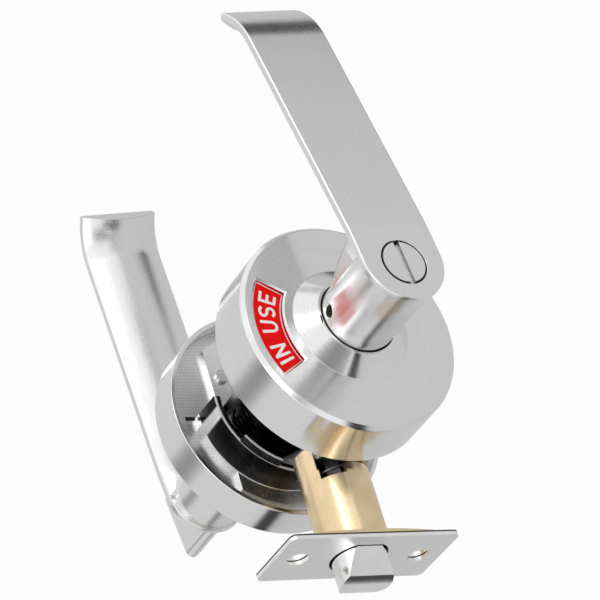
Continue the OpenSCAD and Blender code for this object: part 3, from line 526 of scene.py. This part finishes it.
def outsideRose():
    # two turned parts joined by the face and its underside, which leave the window open
    lap, half, mid, rim = window["bevel"], window["half"], window["middle"], rose["outsideRim"]
    n, beyond, across = window["along"], window["beyond"], window["across"]
    wide = half + np.degrees(lap / (0.5 * (window["inner"] + window["outer"])))
    out = np.array([1, -1, 1])
    rimPart, hubPart = roseParts(rose["outsideDoor"], rim, lap)

    def span(side):
        return np.concatenate([ring(mid - side, mid + side, n), ring(mid + side, mid - side + 360, beyond)[1:-1]])

    def angles(part, low):
        # the edge under the face keeps to the window's sides, and all others to the sides of its bevel
        a = np.repeat(span(wide)[:, None], len(part), 1)
        a[:, low] = span(half)
        return a

    def opening(lap, side, drop):
        # window outline: along the outer arc, down one side, back along the inner arc and up the other side
        a, t = ring(mid - side, mid + side, n), np.linspace(0, 1, across)[1:-1]
        inner, outer = window["inner"] - lap, window["outer"] + lap
        r = np.concatenate([np.full(n, outer), outer + (inner - outer) * t,
                            np.full(n, inner), inner + (outer - inner) * t])
        a = np.concatenate([a, np.full(len(t), a[-1]), a[::-1], np.full(len(t), a[0])])
        return np.column_stack([r * np.cos(a), drop - faceHeight(r, rim), r * np.sin(a)])

    skin = Skin().grid(turned(rimPart, angles(rimPart, 0)) * out, wrapU=True)
    skin.grid(turned(hubPart, angles(hubPart, -1)) * out, wrapU=True)
    skin.grid(turned(np.linspace(rimPart[-1], hubPart[0], across), np.r_[span(wide)[n - 1:], span(wide)[0]]) * out)
    skin.grid(turned(np.linspace(rimPart[0], hubPart[-1], across), np.r_[span(half)[n - 1:], span(half)[0]]) * out)
    edgeRings = [opening(lap, wide, 0.0), opening(0, half, lap), opening(0, half, rose["faceWall"])]
    skin.grid(np.stack(edgeRings), wrapV=True)
    skin.piece("outsideRose", "fixed_set", [roseSteel], "satin_steel", ["outside_rose"])


insideRose()
outsideRose()


# levers

lever = {"width": 27.4, "edge": 2.2, "belly": 4.8, "merge": 1.2, "hubShift": 1.2, "root": 10.6, "rootSoft": 3.2,
         "slope": 5, "bendStart": 84.779, "bendRadius": 23, "bend": 43.5, "tilt": leverTilt, "plugHole": 7.4,
         "plugNear": 0.01, "plugSoft": 0.2, "floor": 7.2, "soft": 0.5, "backSoft": 0.3, "tipSoft": 0.3, "core": 2.5,
         "pathStart": -40, "pathSteps": 6001, "headSteps": 97, "sideSteps": 11, "acrossSteps": 41,
         "bladeSteps": (5, 12, 49), "tipSteps": 6}
web = {"reach": 8.5, "radius": 10.8, "spread": 65, "foot": 0.8, "sink": 2.0, "inner": 9.5, "upSteps": 33,
       "aroundSteps": 49}
neck = {"radius": 11.8, "sink": 1.5, "top": 1.2, "soft": 0.3, "bore": 8.02, "boreFlare": 0.6, "screwUp": 3,
        "screwHole": 1.9, "screwSink": 2.35, "patchHalf": 3.4, "patchRise": 3.0, "patchSteps": 17,
        "aroundSteps": 200, "sinkShares": (1, 0.8, 0.6, 0.4, 0.2, 0.04, 0), "holeEdge": (0.4, 0.6), "holeEnd": 9.7}

handles = [
    {"name": "outsideLever", "body": "outside_handle", "side": -1, "hubTop": 36.275, "front": 65.875,
     "replaced": "outside_lever"},
    {"name": "insideLever", "body": "inside_handle", "side": 1, "hubTop": 37.175, "front": 71.875,
     "replaced": "inside_lever"},
]


def bellyDepth(v):
    # the back of the blade is a circular arc between its edges
    half, rise = lever["width"] / 2, lever["belly"]
    back = (half ** 2 + rise ** 2) / (2 * rise)
    return lever["edge"] + rise - back + np.sqrt(np.maximum(back ** 2 - v ** 2, 0))


def leverPath():
    # lengths along the front face where its slope changes, and the slopes there
    slope, bend = np.radians(lever["slope"]), np.radians(lever["bend"])
    first = lever["root"] - lever["rootSoft"]
    second = first + lever["rootSoft"] * 2
    third = lever["root"] + (lever["bendStart"] - lever["root"]) / np.cos(slope)
    marks = np.array([first, second, third, third + lever["bendRadius"] * bend])
    return marks, np.array([0, slope, slope, slope + bend])


def bent(p, front):
    # p holds (length along, across, depth under the front); the front follows the path's slope a(s), so
    # u = integral of cos a, w = front - integral of sin a, and the depth runs along (-sin a, -cos a)
    marks, slopes = leverPath()
    s = np.linspace(lever["pathStart"], marks[-1], lever["pathSteps"])
    a = np.interp(s, marks, slopes)
    step = np.diff(s)
    mid = 0.5 * (a[1:] + a[:-1])
    u = lever["pathStart"] + np.r_[0, np.cumsum(np.cos(mid) * step)]
    w = front - np.r_[0, np.cumsum(np.sin(mid) * step)]
    here = np.interp(p[..., 0], marks, slopes)
    return np.stack([np.interp(p[..., 0], s, u) - p[..., 2] * np.sin(here), p[..., 1],
                     np.interp(p[..., 0], s, w) - p[..., 2] * np.cos(here)], -1)


def leverHead(skin, place):
    # a plate round the plug hole, half round behind the spindle
    half, start, end = lever["width"] / 2, lever["hubShift"], lever["root"]
    n, m, k = lever["headSteps"], lever["sideSteps"], lever["acrossSteps"]
    c = ring(90, 270, n)
    s = start + (end - start) * np.linspace(0, 1, m + 2)[1:-1]
    outline = np.concatenate([np.column_stack([start + half * np.cos(c), half * np.sin(c)]),
                              np.column_stack([s, np.full(m, -half)]),
                              np.column_stack([np.full(k, end), np.linspace(-half, half, k)]),
                              np.column_stack([s[::-1], np.full(m, half)])])
    way = np.concatenate([np.column_stack([np.cos(c), np.sin(c)]), np.tile([0, -1.0], (m, 1)),
                          np.zeros((k, 2)), np.tile([0, 1.0], (m, 1))])
    way[n + m], way[n + m + k - 1] = (0, -1), (0, 1)
    toHole = unit(outline)

    def under(p):
        # the belly sets in beside the spindle, and the plug's hole goes down to its floor
        share = np.clip((p[:, 0] - start) / lever["merge"] + 0.5, 0, 1)
        deep = lever["edge"] + (bellyDepth(p[:, 1]) - lever["edge"]) * share
        atHole = np.linalg.norm(p, axis=1) < lever["plugHole"] + lever["plugNear"]
        return -np.where(atHole, lever["floor"], deep)

    plate = holedPlate(outline, way, toHole * lever["plugHole"], -toHole, 0, under, lever["soft"], lever["plugSoft"])
    plate[..., 2] *= -1
    skin.grid(place(plate), wrapU=True, wrapV=True).next()


def leverBlade(skin, place):
    # the section carried along the path, then drawn in at the tip
    half, soft, marks = lever["width"] / 2, lever["tipSoft"], leverPath()[0]
    v = np.linspace(-half, half, lever["acrossSteps"])[1:-1]
    corners = np.concatenate([[(half, 0), (-half, 0), (-half, lever["edge"])], np.column_stack([v, bellyDepth(v)]),
                              [(half, lever["edge"])]])
    section = rounded(corners, np.r_[lever["soft"], lever["soft"], lever["backSoft"], np.zeros(len(v)),
                                     lever["backSoft"]])
    tangent = unit(np.roll(section, -1, 0) - np.roll(section, 1, 0))
    inward = np.column_stack([-tangent[:, 1], tangent[:, 0]])
    inward *= np.sign(((np.array([0, lever["core"]]) - section) * inward).sum(1, keepdims=True))
    rootSteps, armSteps, bendSteps = lever["bladeSteps"]
    stepIn = np.linspace(0, np.pi / 2, lever["tipSteps"])
    s = np.r_[np.linspace(lever["root"], marks[1], rootSteps), np.linspace(marks[1], marks[2], armSteps)[1:],
              np.linspace(marks[2], marks[3] - soft, bendSteps)[1:], marks[3] - soft * (1 - np.sin(stepIn))]
    inset = np.r_[np.zeros(len(s) - len(stepIn)), soft * (1 - np.cos(stepIn))]
    cross = section[None] + inward[None] * inset[:, None, None]
    blade = np.concatenate([np.broadcast_to(s[:, None, None], cross.shape[:2] + (1,)), cross], -1)
    skin.grid(place(blade), wrapV=True).cap(place(blade[0])).cap(place(blade[-1])).next()


def leverWeb(skin, axes, hubTop, front):
    # the neck drawn out along the arm by d(w) = reach sin(90 k), with k from its foot to the blade
    foot, head, n = hubTop + web["foot"], front - web["sink"], web["aroundSteps"]
    k = np.linspace(0, 1, web["upSteps"])
    c = ring(-web["spread"], web["spread"], n)
    arc = np.column_stack([np.cos(c), np.sin(c)])
    drawn = np.stack([web["reach"] * np.sin(k * np.pi / 2), np.zeros_like(k)], -1)[:, None]
    far = np.broadcast_to(web["inner"] * arc[::-1], (len(k),) + arc.shape)
    loops = np.concatenate([web["radius"] * arc + drawn, far], 1)
    heights = np.broadcast_to((foot + (head - foot) * k)[:, None, None], loops.shape[:2] + (1,))
    solid = np.concatenate([loops, heights], -1) @ axes
    skin.grid(solid, wrapV=True)
    for end in (solid[0], solid[-1]):
        skin.grid(np.stack([end[:n], end[:n - 1:-1]]))
    skin.next()


def leverNeck(skin, side, hubTop, front):
    # a turned tube, with a square of its wall left out round the set screw's hole
    r, low, high = neck["radius"], hubTop - neck["sink"], front - neck["top"]
    up, n = hubTop + neck["screwUp"], neck["patchSteps"]
    a0, a1 = np.pi / 2 - neck["patchHalf"] / r, np.pi / 2 + neck["patchHalf"] / r
    aPatch = np.linspace(a0, a1, n)
    aRest = np.linspace(a1, a0 + 2 * np.pi, neck["aroundSteps"])
    wPatch = np.linspace(up - neck["patchRise"], up + neck["patchRise"], n)
    heights = np.r_[low + neck["soft"], wPatch, high]

    def wall(a, w):
        a = a[:, None]
        return np.stack(np.broadcast_arrays(r * np.cos(a), side * w[None, :], r * np.sin(a)), -1)

    skin.grid(wall(aRest, heights))
    skin.grid(wall(aPatch, heights[:2])).grid(wall(aPatch, heights[-2:]))
    inner = np.array([(r, high), (neck["bore"] + neck["boreFlare"], high), (neck["bore"], front - lever["floor"]),
                      (neck["bore"], low), (r - neck["soft"], low), (r, low + neck["soft"])])
    skin.grid(turned(inner, np.r_[aPatch, aRest[1:-1]]) * np.array([1, side, 1]), wrapU=True)

    # the patch: from its square edge to a round sink, then down the hole
    edge = np.concatenate([np.column_stack([aPatch, np.full(n, wPatch[0])]),
                           np.column_stack([np.full(n, a1), wPatch])[1:],
                           np.column_stack([aPatch[::-1], np.full(n, wPatch[-1])])[1:],
                           np.column_stack([np.full(n, a0), wPatch[::-1]])[1:-1]])
    flat = np.column_stack([r * (edge[:, 0] - np.pi / 2), edge[:, 1] - up])
    way = unit(flat)
    rings = []
    for share in neck["sinkShares"]:
        p = way * neck["screwSink"] + (flat - way * neck["screwSink"]) * share
        a = np.pi / 2 + p[:, 0] / r
        rings.append(np.column_stack([r * np.cos(a), side * (up + p[:, 1]), r * np.sin(a)]))
    hole = way * neck["screwHole"]
    x = r * np.cos(np.pi / 2 + hole[:, 0] / r)
    surface = np.sqrt(r ** 2 - x ** 2)
    for depth in [surface - drop for drop in neck["holeEdge"]] + [np.full(len(x), neck["holeEnd"])]:
        rings.append(np.column_stack([x, side * (up + hole[:, 1]), depth]))
    rings = np.stack(rings)
    skin.grid(rings, wrapV=True).cap(rings[-1])


def makeLever(name, body, side, hubTop, front, replaced):
    # side is -1 outside and 1 inside; u runs along the lever, v across it and w out from the door
    t = np.radians(lever["tilt"])
    axes = np.array([(np.cos(t), 0, np.sin(t)), (-np.sin(t), 0, np.cos(t)), (0, side, 0)])

    def place(p):
        return bent(p, front) @ axes

    skin = Skin()
    leverHead(skin, place)
    leverBlade(skin, place)
    leverWeb(skin, axes, hubTop, front)
    leverNeck(skin, side, hubTop, front)
    skin.piece(name, body, [leverSteel, leverSteel, neckSteel, neckSteel], "satin_steel", [replaced])


for spec in handles:
    makeLever(**spec)


# latch bolt

bolt = {"radius": 8.4, "half": 7.2, "strike": 23, "crown": 0.9, "nose": 3.0, "rear": 48.0, "front": 60.3,
        "end": 69.3, "pocket": 6.02, "slotWide": 2.52, "slotThick": 1.02, "fine": 4001, "steps": 121, "sharp": 30}


def latchBolt():
    # side view: the end is the least of the slope, a crowned end and the round of the other side
    half, tip, nose = bolt["half"], bolt["end"], bolt["nose"]
    rise = 1 / np.tan(np.radians(bolt["strike"]))
    middle = (tip - bolt["front"]) / rise / 2

    def slope(y):
        return bolt["front"] + (y + half) * rise

    def crown(y):
        return tip - bolt["crown"] * ((y - middle) / (half - middle)) ** 2

    fine = np.linspace(-half, half, bolt["fine"])
    edge = fine[np.argmax(slope(fine) > crown(fine))]
    y = np.unique(np.r_[np.linspace(-half, half, bolt["steps"]), edge])
    side = tip - nose + np.sqrt(nose ** 2 - np.maximum(y - half + nose, 0) ** 2)
    end = np.minimum(np.minimum(slope(y), crown(y)), side)
    grids = raisedSlab(y, np.sqrt(bolt["radius"] ** 2 - y ** 2), end, bolt["rear"])
    low = grids.pop(1)
    loop = np.concatenate([low[0], low[1:, -1], low[-1, -2::-1], low[-2:0:-1, 0]])
    reach = np.maximum(np.abs(loop[:, 0]) / bolt["slotWide"], np.abs(loop[:, 1]) / bolt["slotThick"])
    mouth = np.column_stack([loop[:, :2] / reach[:, None], loop[:, 2]])
    deep = mouth + np.array([0, 0, bolt["pocket"]])
    skin = Skin()
    for part in grids:
        skin.grid(part @ latchWay)
    skin.grid(np.stack([loop, mouth, deep]) @ latchWay, wrapV=True).cap(deep @ latchWay)
    skin.piece("latchBolt", "latch", [chromeMetal], "chrome", ["latch_bolt"], sharp=bolt["sharp"])


latchBolt()


# latch spring

spring = {"middle": 6.5, "wire": 0.5, "turns": 5, "rear": 30.02, "front": 47.98, "along": 40, "around": 12,
          "pressed": 0.49, "sharp": 60}


def latchSpring():
    # a round wire about a helix: c(a) = (m cos a, m sin a, rear + w + a k), with its section square to the wire
    wire, turns = spring["wire"], spring["turns"]
    a = np.linspace(0, 2 * np.pi * turns, spring["along"] * turns + 1)
    climb = (spring["front"] - spring["rear"] - 2 * wire) / a[-1]
    zero = np.zeros_like(a)
    out = np.stack([np.cos(a), np.sin(a), zero], -1)
    middle = spring["middle"] * out + np.stack([zero, zero, spring["rear"] + wire + climb * a], -1)
    way = unit(np.stack([-spring["middle"] * np.sin(a), spring["middle"] * np.cos(a), zero + climb], -1))
    up = np.cross(way, out)
    b = np.linspace(0, 2 * np.pi, spring["around"], endpoint=False)[None, :, None]
    solid = (middle[:, None] + wire * (np.cos(b) * out[:, None] + np.sin(b) * up[:, None])) @ latchWay
    skin = Skin().grid(solid, wrapV=True).cap(solid[0]).cap(solid[-1])
    made = skin.piece("latchSpring", "fixed_set", [springSteel], "spring_steel", ["latch_spring"],
                      sharp=spring["sharp"])
    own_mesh(made)


latchSpring()


# state words and borders on the labels

words = {"radius": 26.65, "height": 5.6, "stroke": 0.9, "gap": 1.2, "space": 3.0, "ink": 0.05, "inkStep": 0.12,
         "top": 29.975, "border": 0.35, "outer": 31.05, "inner": 22.25, "half": 30.5, "bowSteps": 15,
         "borderSteps": 41}
labels = [
    {"name": "inUseWords", "text": "IN USE", "middle": 90, "slot": "red_label", "squeeze": 1},
    {"name": "vacantWords", "text": "VACANT", "middle": 180, "slot": "green_label", "squeeze": 0.8},
]


def bow(middle, radii, a0, a1):
    a = ring(a0, a1, words["bowSteps"])
    return np.column_stack([middle[0] + radii[0] * np.cos(a), middle[1] + radii[1] * np.sin(a)])


def letters():
    # width and strokes of each letter, in millimetres from its lower left
    def line(*points):
        return np.array(points, float)

    return {
        "I": (0.9, [line((0.45, 0), (0.45, 5.6))]),
        "N": (4.0, [line((0.45, 0), (0.45, 5.6)), line((0.45, 5.35), (3.55, 0.25)), line((3.55, 0), (3.55, 5.6))]),
        "U": (4.0, [np.concatenate([[(0.45, 5.6)], bow((2, 1.9), (1.55, 1.45), 180, 360), [(3.55, 5.6)]])]),
        "S": (3.8, [np.concatenate([bow((1.9, 3.975), (1.45, 1.175), 25, 270),
                                    bow((1.9, 1.625), (1.45, 1.175), 90, -155)[1:]])]),
        "E": (3.4, [line((0.45, 0), (0.45, 5.6)), line((0.45, 5.15), (3.4, 5.15)), line((0.45, 2.8), (3.1, 2.8)),
                    line((0.45, 0.45), (3.4, 0.45))]),
        "V": (4.2, [line((0.45, 5.6), (2.1, 0.1)), line((2.1, 0.1), (3.75, 5.6))]),
        "A": (4.2, [line((0.45, 0), (2.1, 5.5)), line((2.1, 5.5), (3.75, 0)), line((1.1, 1.8), (3.1, 1.8))]),
        "C": (3.8, [bow((2, 2.8), (1.55, 2.35), 45, 315)]),
        "T": (3.8, [line((0.2, 5.15), (3.6, 5.15)), line((1.9, 0), (1.9, 5.15))]),
    }


def ribbon(skin, path, wide, place, thick=1.0):
    # a flat stroke along a path, with its ends closed; strokes that cross differ in thickness
    way = unit(np.gradient(path, axis=0))
    side = np.column_stack([-way[:, 1], way[:, 0]]) * wide / 2
    edge = np.stack([path - side, path + side, path + side, path - side], 1)
    high = np.broadcast_to(np.array([0, 0, thick, thick])[None, :, None], edge.shape[:2] + (1,))
    solid = place(np.concatenate([edge, high], -1))
    skin.grid(solid, wrapV=True).cap(solid[0]).cap(solid[-1]).next()


def label(name, text, middle, slot, squeeze):
    # text reads round the spindle with its tops outward: angle = middle - squeeze x / radius, r = radius + y
    shapes = letters()
    widths = np.array([shapes[c][0] if c != " " else words["space"] - words["gap"] for c in text])
    starts = np.r_[0, np.cumsum(widths + words["gap"])[:-1]]
    total = (widths + words["gap"]).sum() - words["gap"]

    def around(r, x, high):
        a = np.radians(middle) - x / words["radius"]
        return np.stack([r * np.cos(a), -words["top"] - words["ink"] * high, r * np.sin(a)], -1)

    def textPlace(p):
        r = words["radius"] + p[..., 1] - words["height"] / 2
        return around(r, squeeze * (p[..., 0] - total / 2), p[..., 2])

    def borderPlace(p):
        return around(p[..., 1], p[..., 0], p[..., 2])

    skin = Skin()
    for c, x in zip(text, starts):
        for k, stroke in enumerate(shapes.get(c, (0, []))[1]):
            ribbon(skin, stroke + np.array([x, 0]), words["stroke"], textPlace, 1 - words["inkStep"] * k)
    reach = words["radius"] * np.radians(words["half"])
    across = np.linspace(-reach, reach, words["borderSteps"])
    for r in (words["inner"], words["outer"]):
        ribbon(skin, np.column_stack([across, np.full(len(across), r)]), words["border"], borderPlace)
    for x in (-reach, reach):
        side = np.array([(x, words["inner"]), (x, words["outer"])])
        ribbon(skin, side, words["border"], borderPlace, 1 - words["inkStep"])
    skin.piece(name, "privacy", [whiteInk], slot)


for spec in labels:
    label(**spec)


# nodes whose shape is right keep it, with the finish of their slot or their own

ownFinish = {"spring_cage": cageSteel(), "inside_plate": hatchedPlate, "cage_rivets": hatchedPlate,
             "coin_plug": plugSteel(), "thumb_turn": leverSteel, "back_flange": flangeBrass(),
             "outside_set_screw": blackOxide, "inside_set_screw": blackOxide}


def dressNodes():
    slotOf = {row["node"]: row["material_slot"] for row in frame["record"]["subparts"]}
    for name, obj in nodes.items():
        material = ownFinish.get(name, finishOf[slotOf[name]]).material
        if not obj.material_slots:
            obj.data.materials.append(material)
        for place in obj.material_slots:
            place.material = material
    print("nodes dressed:", len(nodes))


dressNodes()


# stage, light and camera

stage = {"floor": -0.34, "side": 4.0, "white": 0.9, "rough": 0.9, "floorGlow": 0.9, "world": 0.75, "worldGlow": 1.0}
photo = {"place": (-0.429784, -0.707737, 0.493398), "turn": (1.3777, 59.2766, -121.3587), "lens": 192.0,
         "sensor": 36.0, "near": 0.01, "far": 20}
lamps = [
    {"name": "keyLamp", "at": (-0.45, -0.5, 0.9), "size": (0.7, 0.7), "power": 1.7},
    {"name": "fillLamp", "at": (0.6, -0.9, 0.65), "size": (0.3, 0.6), "power": 1.2},
]
cards = [
    {"name": "softCard", "at": (-0.06, 0.71, 0.70), "along": (0, 1, 0), "size": (0.42, 0.8), "tone": 0.05,
     "cover": 0.6},
    {"name": "lineCard", "at": (-0.485, 0.0, -0.121), "along": (0, 1, 0), "size": (0.13, 1.4), "tone": 0.01},
    {"name": "bendCard", "at": (0.31, -0.15, -0.21), "along": (0, 0, 1), "size": (0.14, 0.3), "tone": 0.03},
    {"name": "noseCard", "at": (-0.44, 0.2, -0.264), "along": (0, 0, 1), "size": (0.3, 0.3), "tone": 0.04,
     "cover": 0.95},
    {"name": "eyeCard", "at": (-0.28, -0.5, 0.17), "along": (0, 0, 1), "size": (0.36, 0.36), "tone": 0.25,
     "cover": 0.9},
    {"name": "tableCard", "at": (0, 0, -0.33), "along": (1, 0, 0), "size": (6, 6), "tone": 0.75},
    {"name": "skyCard", "at": (0, 1.6, 0), "along": (0, 0, 1), "size": (6, 5), "tone": 0.95},
]


def whiteToEye(tree, kind, plain, strength):
    # seen directly or in metal the surface is plain white, and for other light it is what it is
    def calc(operation, first, second):
        made = tree.nodes.new("ShaderNodeMath")
        made.operation, made.use_clamp = operation, True
        tree.links.new(first, made.inputs[0])
        if isinstance(second, float):
            made.inputs[1].default_value = second
        else:
            tree.links.new(second, made.inputs[1])
        return made.outputs[0]

    path = tree.nodes.new("ShaderNodeLightPath").outputs
    seen = calc("ADD", path["Is Camera Ray"], path["Is Glossy Ray"])
    seen = calc("ADD", seen, path["Is Transmission Ray"])
    white = tree.nodes.new(kind)
    white.inputs["Color"].default_value = (1, 1, 1, 1)
    white.inputs["Strength"].default_value = 1.0
    mix = tree.nodes.new("ShaderNodeMixShader")
    for place, value in zip(mix.inputs, (calc("MULTIPLY", seen, strength), plain.outputs[0], white.outputs[0])):
        tree.links.new(value, place)
    return mix.outputs[0]


def addToScene(name, data):
    obj = bpy.data.objects.new(name, data)
    bpy.context.scene.collection.objects.link(obj)
    return obj


def flatSheet(name, corners, material):
    mesh = bpy.data.meshes.new(name)
    mesh.from_pydata(corners, [], [(0, 1, 2, 3)])
    mesh.materials.append(material)
    sheet = addToScene(name, mesh)
    return sheet


def makeFloor():
    side, z = stage["side"], stage["floor"]
    made = Finish("paleFloor", {"Base Color": grey(stage["white"]), "Roughness": stage["rough"]})
    white = whiteToEye(made.tree, "ShaderNodeEmission", made.shader, stage["floorGlow"])
    made.tree.links.new(white, made.tree.nodes["Material Output"].inputs["Surface"])
    flatSheet("floor", [(-side, -side, z), (side, -side, z), (side, side, z), (-side, side, z)], made.material)


def makeWorld():
    world = bpy.data.worlds.new("studio")
    bpy.context.scene.world = world
    world.use_nodes = True
    tree = world.node_tree
    plain = tree.nodes["Background"]
    plain.inputs["Color"].default_value = (1, 1, 1, 1)
    plain.inputs["Strength"].default_value = stage["world"]
    white = whiteToEye(tree, "ShaderNodeBackground", plain, stage["worldGlow"])
    tree.links.new(white, tree.nodes["World Output"].inputs["Surface"])


def makeLamp(spec):
    light = bpy.data.lights.new(spec["name"], "AREA")
    light.shape = "RECTANGLE"
    light.size, light.size_y = spec["size"]
    light.energy = spec["power"]
    at = np.array(spec["at"])
    back = unit(at)
    right = unit(np.cross((0, 0, 1), back))
    up = np.cross(back, right)
    place = np.vstack([np.column_stack([right, up, back, at]), [0, 0, 0, 1]])
    addToScene(spec["name"], light).matrix_world = Matrix(place.tolist())


def makeCard(spec):
    # a card that only reflections see, square to the object; with a cover it fades to its edges as 1 - t^2
    at = np.array(spec["at"], float)
    out = unit(-at)
    wide = unit(np.cross(spec["along"], out))
    tall = unit(np.cross(out, wide))
    corners = np.array([(-1, -1), (1, -1), (1, 1), (-1, 1)]) / 2 * np.array(spec["size"])
    made = Finish(spec["name"], {"Base Color": grey(spec["tone"]), "Roughness": 1.0, "Specular IOR Level": 0.0})
    if "cover" in spec:
        across = made.node("ShaderNodeVectorMath", {"operation": "DOT_PRODUCT"},
                           {0: made.place(), 1: wide.tolist()}, out="Value")
        t = (across - float(at @ wide)) / (spec["size"][0] / 2)
        share = made.remap(t * t, 0.0, 1.0, spec["cover"], 0.0)
        clear, solid = made.node("ShaderNodeBsdfTransparent"), Sock(made, made.shader.outputs[0])
        mixed = made.node("ShaderNodeMixShader", sockets={0: share, 1: clear, 2: solid})
        made.tree.links.new(mixed.socket, made.tree.nodes["Material Output"].inputs["Surface"])
    card = flatSheet(spec["name"], (at + corners @ np.stack([wide, tall])).tolist(), made.material)
    card.visible_camera = card.visible_diffuse = card.visible_shadow = card.visible_transmission = False


def makeCamera():
    eye = bpy.data.cameras.new("photoCamera")
    eye.lens, eye.sensor_width = photo["lens"], photo["sensor"]
    eye.clip_start, eye.clip_end = photo["near"], photo["far"]
    camera = addToScene("photoCamera", eye)
    camera.location = photo["place"]
    camera.rotation_euler = np.radians(photo["turn"])
    bpy.context.scene.camera = camera
    bpy.context.scene.view_settings.view_transform = "Standard"


makeFloor()
makeWorld()
for spec in lamps:
    makeLamp(spec)
for spec in cards:
    makeCard(spec)
makeCamera()
print("stage, lamps and camera set")
